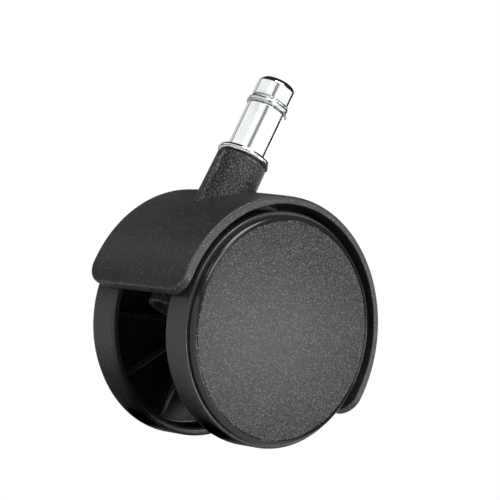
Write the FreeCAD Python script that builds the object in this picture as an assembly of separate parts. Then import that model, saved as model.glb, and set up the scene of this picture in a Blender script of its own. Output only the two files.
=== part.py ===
import FreeCAD, Part

import math
import os

# Twin-wheel swivel caster for an office chair, one closed solid per real piece, in millimetres.
# Frame: the origin is the centre of the stem flange's top face, +Z runs up the stem,
# the wheels trail towards +X and the axle lies along Y. The left side is -Y.

# ---- driving dimensions -------------------------------------------------------------------
WHEEL_RADIUS = 32.0
STEM_RADIUS = 5.5
STEM_HEIGHT = 22.6
AXLE_TRAIL = 20.4
AXLE_DROP = 41.9
AXLE_RADIUS = 3.0
RUNNING_GAP = 0.05
FACE_GAP = 0.1

# stem and what sits on it
STEM_TIP_RADIUS = 4.45
STEM_TIP_HEIGHT = 1.2
STEM_TIP_ROUNDING = 0.4
STEM_SHOULDER_ROUNDING = 1.0
FLANGE_RADIUS = 7.6
FLANGE_THICKNESS = 1.7
FLANGE_ROUNDING = 0.75
SHANK_RADIUS = 4.0
SHANK_BOTTOM = -47.6
SHANK_CHAMFER = 0.5
GRIP_GROOVE_BOTTOM = 14.2
GRIP_GROOVE_TOP = 16.6
GRIP_GROOVE_RADIUS = 4.75
GRIP_GROOVE_ROUNDING = 0.3
GRIP_RING_INNER = 4.85
GRIP_RING_OUTER = 5.74
GRIP_RING_BOTTOM = 14.3
GRIP_RING_HEIGHT = 1.6
GRIP_RING_ROUNDING = 0.4
GRIP_RING_SPLIT = 1.4
CLIP_GROOVE_RADIUS = 3.4
CLIP_GROOVE_BOTTOM = -46.2
CLIP_GROOVE_HEIGHT = 1.0
CLIP_OUTER = 4.95
CLIP_THICKNESS = 0.8
CLIP_OPENING = 3.2
THRUST_WASHER_RADIUS = 6.75
THRUST_WASHER_THICKNESS = 0.55

# housing: neck, hood, web and axle boss
NECK_TOP = -(FLANGE_THICKNESS + FACE_GAP + THRUST_WASHER_THICKNESS)
NECK_TOP_RADIUS = 7.1
NECK_FOOT_RADIUS = 7.45
NECK_FOOT = -21.0
NECK_EDGE_ROUNDING = 0.4
SOCKET_TOP_RADIUS = 7.0
SOCKET_BOTTOM_RADIUS = 6.45
SOCKET_BOTTOM = -49.0
CLIP_POCKET_RADIUS = 5.3
NECK_RIB_WIDTH = 2.4
NECK_RIB_PROUD = 1.0
NECK_RIB_FLARE = 0.45
HOOD_RADIUS = 36.6
HOOD_CROWN = 0.4
HOOD_INNER_RADIUS = 34.1
HOOD_HALF_WIDTH = 20.2
HOOD_EDGE_ROUNDING = 0.5
HOOD_CORNER_RADIUS = 5.5
HOOD_SKIRT = 7.5
HOOD_OVERLAP = 0.5
WEB_HALF_THICKNESS = 2.4
WEB_REAR_ANGLE = 8.0
WEB_FOOT_RISE = 0.8
BOSS_RADIUS = 7.0
BOSS_HALF_LENGTH = 5.0
CROSS_RIB_ANGLES = (12.0, 42.0, 72.0)
CROSS_RIB_INNER_RADIUS = 25.0
CROSS_RIB_HALF_WIDTH = 9.8
CROSS_RIB_THICKNESS = 1.6

# axle set
AXLE_HALF_LENGTH = 20.1
AXLE_CHAMFER = 0.5
AXLE_WASHER_RADIUS = 6.2
AXLE_WASHER_THICKNESS = 0.5
PUSH_NUT_RADIUS = 6.2
PUSH_NUT_THICKNESS = 0.5
PUSH_NUT_SLOT_RADIUS = 4.4
PUSH_NUT_SLOT_WIDTH = 0.6
PUSH_NUT_TEETH = 6

# wheel, tread and cover: distances from the middle plane, measured outwards along the axle
LIP_PLANE = 11.3
TREAD_EDGE = 20.05
TREAD_THICKNESS = 1.3
TREAD_LIP_DEPTH = 1.2
TREAD_INNER_ROUNDING = 0.6
TREAD_OUTER_ROUNDING = 0.45
RIM_INNER_RADIUS = 29.6
SHOULDER_GROOVE = 0.35
SHOULDER_RADIUS = 31.05
SHOULDER_ROUNDING = 0.25
CREST_PLANE = 21.9
CREST_ROUNDING = 0.6
FACE_PLANE = 22.2
COVER_RADIUS = 29.6
COVER_SEAM = 0.12
COVER_THICKNESS = 1.4
COVER_ROUNDING = 0.25
COVER_SNAP_DEPTH = 1.5
COVER_SNAP_WALL = 1.1
COVER_SNAP_SKIRT = 0.35
COVER_SNAP_FIT = 0.05
COVER_SNAP_LEAD = 0.3
COVER_SNAP_TIP = 0.65
LEDGE_RADIUS = 28.4
WHEEL_WEB_OUTER = 18.9
WHEEL_WEB_THICKNESS = 1.5
HUB_RADIUS = 7.0
HUB_INNER = BOSS_HALF_LENGTH + AXLE_WASHER_THICKNESS + FACE_GAP
HUB_OUTER = 19.1
HUB_EDGE_ROUNDING = 0.4
WHEEL_INNER_FILLET = 1.0
WHEEL_OUTER_FILLET = 0.5
WHEEL_RIB_COUNT = 10
WHEEL_RIB_FIRST_ANGLE = 25.0
WHEEL_RIB_THICKNESS = 1.5
WHEEL_RIB_HUB_EDGE = 12.0
WHEEL_RIB_RIM_EDGE = 15.5
WHEEL_RIB_OVERLAP = 0.4

X = FreeCAD.Vector(1, 0, 0)
Y = FreeCAD.Vector(0, 1, 0)
Z = FreeCAD.Vector(0, 0, 1)
ORIGIN = FreeCAD.Vector(0, 0, 0)
AXLE_CENTRE = FreeCAD.Vector(AXLE_TRAIL, 0, -AXLE_DROP)
HOOD_OUTER_CENTRE = AXLE_CENTRE + FreeCAD.Vector(0.2, 0, -0.4)
HOOD_INNER_CENTRE = AXLE_CENTRE + FreeCAD.Vector(0.55, 0, 0.2)
SIDES = {"left": -1, "right": 1}


# ---- outlines -----------------------------------------------------------------------------
def outline(corners, place):
    """A closed wire through corners (a, b, rounding), with a tangent arc at each rounded one."""
    edges = []
    ends = []
    count = len(corners)
    for i, (a, b, rounding) in enumerate(corners):
        here = place(a, b)
        if rounding == 0:
            ends.append((here, here))
            continue
        before = place(*corners[i - 1][:2]) - here
        after = place(*corners[(i + 1) % count][:2]) - here
        before.normalize()
        after.normalize()
        half = before.getAngle(after) / 2
        reach = rounding / math.tan(half)
        middle = (before + after).normalize() * (rounding / math.sin(half) - rounding)
        start = here + before * reach
        end = here + after * reach
        edges.append(Part.Arc(start, here + middle, end).toShape())
        ends.append((start, end))
    for i in range(count):
        leave = ends[i][1]
        arrive = ends[(i + 1) % count][0]
        if leave.distanceToPoint(arrive) > 1e-6:
            edges.append(Part.LineSegment(leave, arrive).toShape())
    return Part.Wire(Part.__sortEdges__(edges))


def turned_about_stem(corners):
    """A solid of revolution about the stem axis from corners (radius, height, rounding)."""
    wire = outline(corners, lambda radius, height: FreeCAD.Vector(radius, 0, height))
    return Part.Face(wire).revolve(ORIGIN, Z, 360)


def turned_about_axle(corners, side=1):
    """A solid of revolution about the axle from corners (distance outwards, radius, rounding)."""
    wire = outline(
        corners,
        lambda out, radius: AXLE_CENTRE + Y * (side * out) + Z * radius,
    )
    return Part.Face(wire).revolve(AXLE_CENTRE, Y, 360)


def tube_about_stem(inner, outer, bottom, top):
    return turned_about_stem([(inner, bottom, 0), (outer, bottom, 0), (outer, top, 0), (inner, top, 0)])


def tube_about_axle(inner, outer, near, far, side=1):
    return turned_about_axle([(near, inner, 0), (near, outer, 0), (far, outer, 0), (far, inner, 0)], side)


def block(x0, x1, y0, y1, z0, z1):
    return Part.makeBox(x1 - x0, y1 - y0, z1 - z0, FreeCAD.Vector(x0, y0, z0))


# ---- stem group ---------------------------------------------------------------------------
def stem():
    """Zinc-plated pin: grip end with its ring groove, seat flange, and the shank in the housing."""
    clip_groove_top = CLIP_GROOVE_BOTTOM + CLIP_GROOVE_HEIGHT
    return turned_about_stem(
        [
            (0, SHANK_BOTTOM, 0),
            (SHANK_RADIUS - SHANK_CHAMFER, SHANK_BOTTOM, 0),
            (SHANK_RADIUS, SHANK_BOTTOM + SHANK_CHAMFER, 0),
            (SHANK_RADIUS, CLIP_GROOVE_BOTTOM, 0),
            (CLIP_GROOVE_RADIUS, CLIP_GROOVE_BOTTOM, 0),
            (CLIP_GROOVE_RADIUS, clip_groove_top, 0),
            (SHANK_RADIUS, clip_groove_top, 0),
            (SHANK_RADIUS, -FLANGE_THICKNESS, 0),
            (FLANGE_RADIUS, -FLANGE_THICKNESS, FLANGE_ROUNDING),
            (FLANGE_RADIUS, 0, FLANGE_ROUNDING),
            (STEM_RADIUS, 0, 0),
            (STEM_RADIUS, GRIP_GROOVE_BOTTOM, 0),
            (GRIP_GROOVE_RADIUS, GRIP_GROOVE_BOTTOM, 0),
            (GRIP_GROOVE_RADIUS, GRIP_GROOVE_TOP, 0),
            (STEM_RADIUS, GRIP_GROOVE_TOP, GRIP_GROOVE_ROUNDING),
            (STEM_RADIUS, STEM_HEIGHT - STEM_TIP_HEIGHT, STEM_SHOULDER_ROUNDING),
            (STEM_TIP_RADIUS, STEM_HEIGHT, STEM_TIP_ROUNDING),
            (0, STEM_HEIGHT, 0),
        ]
    )


def grip_ring():
    """Spring-steel ring in the stem's groove, split at the back, shown closed as in its socket."""
    top = GRIP_RING_BOTTOM + GRIP_RING_HEIGHT
    ring = turned_about_stem(
        [
            (GRIP_RING_INNER, GRIP_RING_BOTTOM, 0),
            (GRIP_RING_OUTER, GRIP_RING_BOTTOM, GRIP_RING_ROUNDING),
            (GRIP_RING_OUTER, top, GRIP_RING_ROUNDING),
            (GRIP_RING_INNER, top, 0),
        ]
    )
    half = GRIP_RING_SPLIT / 2
    return ring.cut(block(0, GRIP_RING_OUTER + 1, -half, half, GRIP_RING_BOTTOM - 1, top + 1))


def stem_clip():
    """Open retaining clip on the shank's lower groove, under the socket's inner ceiling."""
    bottom = CLIP_GROOVE_BOTTOM + FACE_GAP
    ring = tube_about_stem(CLIP_GROOVE_RADIUS, CLIP_OUTER, bottom, bottom + CLIP_THICKNESS)
    half = CLIP_OPENING / 2
    return ring.cut(block(0, CLIP_OUTER + 1, -half, half, bottom - 1, bottom + CLIP_THICKNESS + 1))


def thrust_washer():
    """Thin plastic washer between the stem's flange and the neck."""
    return tube_about_stem(
        SHANK_RADIUS + FACE_GAP, THRUST_WASHER_RADIUS, NECK_TOP, NECK_TOP + THRUST_WASHER_THICKNESS
    )


# ---- housing ------------------------------------------------------------------------------
def neck_and_socket():
    """Tapered neck above the hood and the stem socket that goes on below it, one stack of cones."""
    return turned_about_stem(
        [
            (0, NECK_TOP, 0),
            (NECK_TOP_RADIUS, NECK_TOP, NECK_EDGE_ROUNDING),
            (NECK_FOOT_RADIUS, NECK_FOOT, 0),
            (SOCKET_TOP_RADIUS, NECK_FOOT, 0),
            (SOCKET_BOTTOM_RADIUS, SOCKET_BOTTOM, NECK_EDGE_ROUNDING),
            (0, SOCKET_BOTTOM, 0),
        ]
    )


def neck_rib():
    """Raised rib down the front of the neck, a little prouder at its foot."""
    top = NECK_TOP - NECK_EDGE_ROUNDING
    proud_top = -(NECK_TOP_RADIUS + NECK_RIB_PROUD)
    proud_foot = proud_top - NECK_RIB_FLARE
    side_view = outline(
        [
            (-SHANK_RADIUS - 1, top, 0),
            (proud_top, top, NECK_EDGE_ROUNDING),
            (proud_foot, NECK_FOOT, 0),
            (-SHANK_RADIUS - 1, NECK_FOOT, 0),
        ],
        lambda x, z: FreeCAD.Vector(x, -NECK_RIB_WIDTH / 2, z),
    )
    rib = Part.Face(side_view).extrude(Y * NECK_RIB_WIDTH)
    long_edges = [edge for edge in rib.Edges if edge.Length > (top - NECK_FOOT) / 2]
    front_edges = [edge for edge in long_edges if edge.BoundBox.XMax < -NECK_TOP_RADIUS]
    return rib.makeFillet(NECK_EDGE_ROUNDING, front_edges)


def hood_shell():
    """Crowned arch over both wheels, thicker at the front, cut off level with rounded corners."""
    width = HOOD_HALF_WIDTH
    rounding = HOOD_EDGE_ROUNDING
    slant = rounding * (1 - math.sqrt(0.5))

    def place(out, radius):
        return HOOD_OUTER_CENTRE + Y * out + Z * radius

    edges = [
        Part.Arc(
            place(-width + rounding, HOOD_RADIUS),
            place(0, HOOD_RADIUS + HOOD_CROWN),
            place(width - rounding, HOOD_RADIUS),
        ).toShape(),
        Part.LineSegment(place(-width, 0), place(width, 0)).toShape(),
    ]
    for side in SIDES.values():
        rim = place(side * width, HOOD_RADIUS - rounding)
        edges.append(
            Part.Arc(
                place(side * (width - rounding), HOOD_RADIUS),
                place(side * (width - slant), HOOD_RADIUS - slant),
                rim,
            ).toShape()
        )
        edges.append(Part.LineSegment(rim, place(side * width, 0)).toShape())
    drum = Part.Face(Part.Wire(Part.__sortEdges__(edges))).revolve(HOOD_OUTER_CENTRE, Y, 360)
    hollow = Part.makeCylinder(HOOD_INNER_RADIUS, 2 * width + 2, HOOD_INNER_CENTRE - Y * (width + 1), Y)
    reach = HOOD_RADIUS + HOOD_CROWN + 1
    lower = -AXLE_DROP - HOOD_SKIRT
    corner = HOOD_CORNER_RADIUS - RUNNING_GAP
    front_view = outline(
        [
            (-width - 1, lower + HOOD_CORNER_RADIUS, 0),
            (-width, lower + HOOD_CORNER_RADIUS, 0),
            (-width, lower, corner),
            (width, lower, corner),
            (width, lower + HOOD_CORNER_RADIUS, 0),
            (width + 1, lower + HOOD_CORNER_RADIUS, 0),
            (width + 1, reach, 0),
            (-width - 1, reach, 0),
        ],
        lambda y, z: FreeCAD.Vector(AXLE_TRAIL - reach, y, z),
    )
    return drum.cut(hollow).common(Part.Face(front_view).extrude(X * (2 * reach)))


def web():
    """Centre plate under the hood that carries the axle boss, cut to the hood's inner face."""
    rear = math.radians(WEB_REAR_ANGLE)
    radius = HOOD_INNER_RADIUS + HOOD_OVERLAP
    rear_point = (AXLE_TRAIL + radius * math.cos(rear), -AXLE_DROP + radius * math.sin(rear))
    side_view = outline(
        [
            (0, SOCKET_BOTTOM + WEB_FOOT_RISE, 0),
            (AXLE_TRAIL, -AXLE_DROP - BOSS_RADIUS, 0),
            (AXLE_TRAIL + BOSS_RADIUS, -AXLE_DROP - BOSS_RADIUS / 3, 0),
            (rear_point[0], rear_point[1], 0),
            (rear_point[0], 0, 0),
            (0, 0, 0),
        ],
        lambda x, z: FreeCAD.Vector(x, -WEB_HALF_THICKNESS, z),
    )
    plate = Part.Face(side_view).extrude(Y * (2 * WEB_HALF_THICKNESS))
    under_hood = Part.makeCylinder(
        radius, 2 * WEB_HALF_THICKNESS, HOOD_INNER_CENTRE - Y * WEB_HALF_THICKNESS, Y
    )
    return plate.common(under_hood)


def cross_ribs():
    """Short ribs across the web under the hood, set like spokes about the axle."""
    ribs = []
    for angle in CROSS_RIB_ANGLES:
        rib = block(
            CROSS_RIB_INNER_RADIUS,
            HOOD_INNER_RADIUS + HOOD_OVERLAP,
            -CROSS_RIB_HALF_WIDTH,
            CROSS_RIB_HALF_WIDTH,
            -CROSS_RIB_THICKNESS / 2,
            CROSS_RIB_THICKNESS / 2,
        )
        rib.rotate(ORIGIN, Y, -angle)
        rib.translate(HOOD_INNER_CENTRE)
        ribs.append(rib)
    return ribs


def housing():
    """The one-piece moulding: hood, neck, stem socket, web, ribs and axle boss."""
    boss = tube_about_axle(0, BOSS_RADIUS, -BOSS_HALF_LENGTH, BOSS_HALF_LENGTH)
    body = hood_shell().multiFuse([neck_and_socket(), neck_rib(), web(), boss, *cross_ribs()])
    clip_ceiling = CLIP_GROOVE_BOTTOM + CLIP_GROOVE_HEIGHT
    socket_bore = Part.makeCylinder(
        SHANK_RADIUS + RUNNING_GAP, NECK_TOP + 1 - SOCKET_BOTTOM, FreeCAD.Vector(0, 0, SOCKET_BOTTOM - 1)
    )
    clip_pocket = Part.makeCylinder(
        CLIP_POCKET_RADIUS, clip_ceiling - SOCKET_BOTTOM + 1, FreeCAD.Vector(0, 0, SOCKET_BOTTOM - 1)
    )
    neck_mouth = Part.makeCylinder(SHANK_RADIUS + RUNNING_GAP, 2, FreeCAD.Vector(0, 0, NECK_TOP - 1))
    axle_bore = Part.makeCylinder(
        AXLE_RADIUS, 2 * BOSS_HALF_LENGTH + 2, AXLE_CENTRE - Y * (BOSS_HALF_LENGTH + 1), Y
    )
    return body.cut([socket_bore, clip_pocket, neck_mouth, axle_bore]).removeSplitter()


# ---- axle set -----------------------------------------------------------------------------
def axle():
    """Plain steel pin pressed through the housing's boss, chamfered at both ends."""
    end = AXLE_HALF_LENGTH
    cut = AXLE_CHAMFER
    return turned_about_axle(
        [
            (-end, 0, 0),
            (-end, AXLE_RADIUS - cut, 0),
            (-end + cut, AXLE_RADIUS, 0),
            (end - cut, AXLE_RADIUS, 0),
            (end, AXLE_RADIUS - cut, 0),
            (end, 0, 0),
        ]
    )


def axle_washer(side):
    """Flat washer between the housing's boss and a wheel's hub."""
    inner = AXLE_RADIUS + RUNNING_GAP
    face = BOSS_HALF_LENGTH
    return tube_about_axle(inner, AXLE_WASHER_RADIUS, face, face + AXLE_WASHER_THICKNESS, side)


def push_nut(side):
    """Toothed lock ring pushed onto the axle end, which keeps the wheel on."""
    start = HUB_OUTER + FACE_GAP
    ring = tube_about_axle(AXLE_RADIUS, PUSH_NUT_RADIUS, start, start + PUSH_NUT_THICKNESS, side)
    half = PUSH_NUT_SLOT_WIDTH / 2
    slots = []
    for i in range(PUSH_NUT_TEETH):
        slot = block(0, PUSH_NUT_SLOT_RADIUS, -HUB_OUTER - 2, HUB_OUTER + 2, -half, half)
        slot.rotate(ORIGIN, Y, i * 360 / PUSH_NUT_TEETH)
        slot.translate(AXLE_CENTRE)
        slots.append(slot)
    return ring.cut(slots)


# ---- wheels -------------------------------------------------------------------------------
def wheel(side):
    """Wheel moulding: hub, web, stiffening ribs, rim, outer shoulder and the cover's recess."""
    tread_seat = WHEEL_RADIUS - TREAD_THICKNESS
    lip = LIP_PLANE + TREAD_LIP_DEPTH
    web_inner = WHEEL_WEB_OUTER - WHEEL_WEB_THICKNESS
    shoulder = TREAD_EDGE + SHOULDER_GROOVE
    recess = COVER_RADIUS + COVER_SEAM
    ledge = FACE_PLANE - COVER_THICKNESS
    bore = AXLE_RADIUS + RUNNING_GAP
    body = turned_about_axle(
        [
            (HUB_INNER, bore, 0),
            (HUB_INNER, HUB_RADIUS, HUB_EDGE_ROUNDING),
            (web_inner, HUB_RADIUS, WHEEL_INNER_FILLET),
            (web_inner, RIM_INNER_RADIUS, WHEEL_INNER_FILLET),
            (lip, RIM_INNER_RADIUS, 0),
            (lip, tread_seat, 0),
            (shoulder, tread_seat, 0),
            (shoulder, SHOULDER_RADIUS, SHOULDER_ROUNDING),
            (CREST_PLANE, SHOULDER_RADIUS, CREST_ROUNDING),
            (FACE_PLANE, recess, 0),
            (ledge, recess, 0),
            (ledge, LEDGE_RADIUS, 0),
            (WHEEL_WEB_OUTER, LEDGE_RADIUS, WHEEL_OUTER_FILLET),
            (WHEEL_WEB_OUTER, HUB_RADIUS, 0),
            (HUB_OUTER, HUB_RADIUS, 0),
            (HUB_OUTER, bore, 0),
        ],
        side,
    )
    ribs = []
    for i in range(WHEEL_RIB_COUNT):
        rib_face = Part.Face(
            outline(
                [
                    (web_inner + WHEEL_RIB_OVERLAP, HUB_RADIUS - WHEEL_RIB_OVERLAP, 0),
                    (WHEEL_RIB_HUB_EDGE, HUB_RADIUS - WHEEL_RIB_OVERLAP, 0),
                    (WHEEL_RIB_RIM_EDGE, RIM_INNER_RADIUS + WHEEL_RIB_OVERLAP, 0),
                    (web_inner + WHEEL_RIB_OVERLAP, RIM_INNER_RADIUS + WHEEL_RIB_OVERLAP, 0),
                ],
                lambda out, radius: FreeCAD.Vector(radius, side * out, -WHEEL_RIB_THICKNESS / 2),
            )
        )
        rib = rib_face.extrude(Z * WHEEL_RIB_THICKNESS)
        rib.rotate(ORIGIN, Y, -(WHEEL_RIB_FIRST_ANGLE + i * 360 / WHEEL_RIB_COUNT))
        rib.translate(AXLE_CENTRE)
        ribs.append(rib)
    return body.multiFuse(ribs).removeSplitter()


def tread(side):
    """Running band on the rim, with a lip turned over the rim's inner end."""
    seat = WHEEL_RADIUS - TREAD_THICKNESS
    lip = LIP_PLANE + TREAD_LIP_DEPTH
    return turned_about_axle(
        [
            (LIP_PLANE, RIM_INNER_RADIUS, TREAD_INNER_ROUNDING),
            (LIP_PLANE, WHEEL_RADIUS, TREAD_INNER_ROUNDING),
            (TREAD_EDGE, WHEEL_RADIUS, TREAD_OUTER_ROUNDING),
            (TREAD_EDGE, seat, 0),
            (lip, seat, 0),
            (lip, RIM_INNER_RADIUS, 0),
        ],
        side,
    )


def cover(side):
    """Round snap-in cover over the hub, with a barbed ring behind its plate."""
    back = FACE_PLANE - COVER_THICKNESS
    snap_end = back - COVER_SNAP_DEPTH
    skirt = LEDGE_RADIUS - COVER_SNAP_SKIRT
    tip = LEDGE_RADIUS - COVER_SNAP_TIP
    bore = skirt - COVER_SNAP_WALL
    return turned_about_axle(
        [
            (FACE_PLANE, 0, 0),
            (FACE_PLANE, COVER_RADIUS, COVER_ROUNDING),
            (back, COVER_RADIUS, 0),
            (back, skirt, 0),
            (snap_end + 2 * COVER_SNAP_LEAD, skirt, 0),
            (snap_end + COVER_SNAP_LEAD, LEDGE_RADIUS - COVER_SNAP_FIT, 0),
            (snap_end, tip, 0),
            (snap_end, bore, 0),
            (back, bore, 0),
            (back, 0, 0),
        ],
        side,
    )


def pieces():
    """Every node's name and solid."""
    yield "stem", stem()
    yield "grip_ring", grip_ring()
    yield "stem_clip", stem_clip()
    yield "thrust_washer", thrust_washer()
    yield "housing", housing()
    yield "axle", axle()
    for name, side in SIDES.items():
        yield f"axle_washer_{name}", axle_washer(side)
        yield f"push_nut_{name}", push_nut(side)
        yield f"wheel_{name}", wheel(side)
        yield f"tread_{name}", tread(side)
        yield f"cover_{name}", cover(side)


os.makedirs("parts", exist_ok=True)
for node, shape in pieces():
    solid = shape.Solids[0] if len(shape.Solids) == 1 else shape
    solid.exportStep(f"parts/{node}.step")
    size = solid.BoundBox
    print(
        f"{node:20s} solids {len(shape.Solids)} valid {solid.isValid()} volume {solid.Volume:9.1f} mm3"
        f"  {size.XLength:.1f} x {size.YLength:.1f} x {size.ZLength:.1f}"
    )
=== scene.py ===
"""Finished look of a twin-wheel chair caster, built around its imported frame.

Sizes are in millimetres in the classes below and become metres when a piece is fitted to its
body. The axes are the frame's: the origin is the middle of the stem flange's top face, +Z runs
up the stem, the wheels trail towards +X and the axle lies along Y."""

import logging
import math
from dataclasses import dataclass
from enum import Enum
from typing import Callable, Iterator, Optional, Sequence

import bmesh
import bpy
from bpy.types import Material, Mesh, Node, NodeSocket, NodeTree, Object
from mathutils import Matrix, Vector

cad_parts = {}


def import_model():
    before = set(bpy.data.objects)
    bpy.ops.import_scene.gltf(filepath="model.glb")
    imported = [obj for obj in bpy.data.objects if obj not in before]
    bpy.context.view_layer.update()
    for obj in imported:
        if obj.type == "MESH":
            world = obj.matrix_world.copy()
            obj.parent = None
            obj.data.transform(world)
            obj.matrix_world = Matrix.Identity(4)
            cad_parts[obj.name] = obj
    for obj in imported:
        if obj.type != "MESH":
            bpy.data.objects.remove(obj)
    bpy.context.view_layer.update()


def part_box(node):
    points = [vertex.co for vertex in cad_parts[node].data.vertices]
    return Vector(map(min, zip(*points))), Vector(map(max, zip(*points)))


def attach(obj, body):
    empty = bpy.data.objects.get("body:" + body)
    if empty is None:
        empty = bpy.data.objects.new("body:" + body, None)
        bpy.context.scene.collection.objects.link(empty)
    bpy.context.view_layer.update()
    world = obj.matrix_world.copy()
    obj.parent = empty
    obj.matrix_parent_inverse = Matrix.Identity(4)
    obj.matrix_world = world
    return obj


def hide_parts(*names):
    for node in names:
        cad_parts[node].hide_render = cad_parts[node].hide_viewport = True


log = logging.getLogger("caster")

MM = 0.001
WEAR = "wear"
# Vertices closer than this, in millimetres, count as one.
SAME_PLACE = 1e-5
# A plate's edges that turn by more than this, in degrees, are softened in this many steps.
SHARP_EDGE = 25.0
BEVEL_STEPS = 3
# The bands of a noise's range that the textures draw on.
WIDE_BAND = (0.3, 0.7)
NARROW_BAND = (0.35, 0.65)

Point = tuple[float, float]
Triple = tuple[float, float, float]


class Side(Enum):
    """The two wheels: the left one lies towards -Y."""

    LEFT = -1
    RIGHT = 1

    @property
    def label(self) -> str:
        """The side's word in the names of its pieces."""
        return self.name.lower()

    @property
    def tilt(self) -> float:
        """The turn about X, in radians, that lays +Z along the axle towards this side."""
        return -self.value * math.pi / 2


class Slot(Enum):
    """The record's material slots."""

    PLATED = "plated_steel"
    SPRING = "spring_steel"
    WASHER = "washer_plastic"
    HOUSING = "housing_plastic"
    AXLE = "axle_steel"
    WHEEL = "wheel_plastic"
    TREAD = "tread_plastic"
    COVER = "cover_plastic"


# ---- node trees ---------------------------------------------------------------------------
class NodeSheet:
    """Adds nodes to a shader or geometry tree and wires them as they are added."""

    def __init__(self, tree: NodeTree) -> None:
        """Args:
            tree: the node tree that receives the nodes.
        """
        self.tree = tree

    def add(self, kind: str, sockets: Optional[dict] = None, **settings: object) -> Node:
        """Adds a node.

        Args:
            kind: the node's type name.
            sockets: values or output sockets for its inputs, by name or by number.
            settings: properties of the node itself.

        Returns:
            The new node.
        """
        node = self.tree.nodes.new(kind)
        for key, value in settings.items():
            setattr(node, key, value)
        for key, value in (sockets or {}).items():
            if isinstance(value, NodeSocket):
                self.tree.links.new(value, node.inputs[key])
            else:
                node.inputs[key].default_value = value
        return node

    def maths(self, operation: str, *values: object) -> NodeSocket:
        """A Math node's output.

        Args:
            operation: the Math node's operation.
            values: numbers or output sockets, in order.

        Returns:
            The result's socket.
        """
        return self.add("ShaderNodeMath", dict(enumerate(values)), operation=operation).outputs[0]


def placed(name: str, data: bpy.types.ID) -> Object:
    """A new object in the scene with the data given."""
    holder = bpy.data.objects.new(name, data)
    bpy.context.scene.collection.objects.link(holder)
    return holder


class GeometryRecipe:
    """A Geometry Nodes tree with named inputs, run on a mesh in millimetres.

    Every recipe ends by tilting the piece, seating it and giving it its material.
    """

    SHARED = {
        "Tilt": "NodeSocketVector",
        "Seat": "NodeSocketVector",
        "Material": "NodeSocketMaterial",
    }

    def __init__(self, name: str, inputs: dict[str, str]) -> None:
        """Args:
            name: the tree's name.
            inputs: each input's name and socket type, besides those that every recipe has.
        """
        self.tree = bpy.data.node_groups.new(name, "GeometryNodeTree")
        self.tree.is_modifier = True
        face = self.tree.interface
        face.new_socket(name="Geometry", in_out="INPUT", socket_type="NodeSocketGeometry")
        self.keys = {
            label: face.new_socket(name=label, in_out="INPUT", socket_type=kind).identifier
            for label, kind in {**inputs, **self.SHARED}.items()
        }
        face.new_socket(name="Geometry", in_out="OUTPUT", socket_type="NodeSocketGeometry")
        self.sheet = NodeSheet(self.tree)
        self.source = self.sheet.add("NodeGroupInput")

    def given(self, label: str) -> NodeSocket:
        """The socket that carries a named input."""
        return self.source.outputs[label]

    def close(self, geometry: NodeSocket) -> None:
        """Seats the piece and ends the tree in Realize Instances and Set Material.

        Args:
            geometry: the finished geometry.
        """
        add = self.sheet.add
        tilt, seat, material = (self.given(label) for label in self.SHARED)
        seated = add(
            "GeometryNodeTransform", {"Geometry": geometry, "Rotation": tilt, "Translation": seat}
        )
        real = add("GeometryNodeRealizeInstances", {"Geometry": seated.outputs[0]})
        smooth = add("GeometryNodeSetShadeSmooth", {"Geometry": real.outputs[0]})
        dressed = add(
            "GeometryNodeSetMaterial", {"Geometry": smooth.outputs[0], "Material": material}
        )
        add("NodeGroupOutput", {0: dressed.outputs[0]})

    def run(self, mesh: Mesh, **values: object) -> Mesh:
        """Runs the tree on a mesh.

        Args:
            mesh: the tree's input geometry.
            values: the inputs, with underscores for spaces in their names.

        Returns:
            The plain mesh that comes out.
        """
        holder = placed(mesh.name, mesh)
        modifier = holder.modifiers.new(self.tree.name, "NODES")
        modifier.node_group = self.tree
        for label, value in values.items():
            modifier[self.keys[label.replace("_", " ")]] = value
        graph = bpy.context.evaluated_depsgraph_get()
        made = bpy.data.meshes.new_from_object(holder.evaluated_get(graph))
        holder.modifiers.clear()
        bpy.data.objects.remove(holder)
        return made


# ---- outlines and shells ------------------------------------------------------------------
@dataclass(frozen=True)
class Corner:
    """A corner of an outline, with the radius of its rounding."""

    across: float
    along: float
    rounding: float = 0.0


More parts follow.
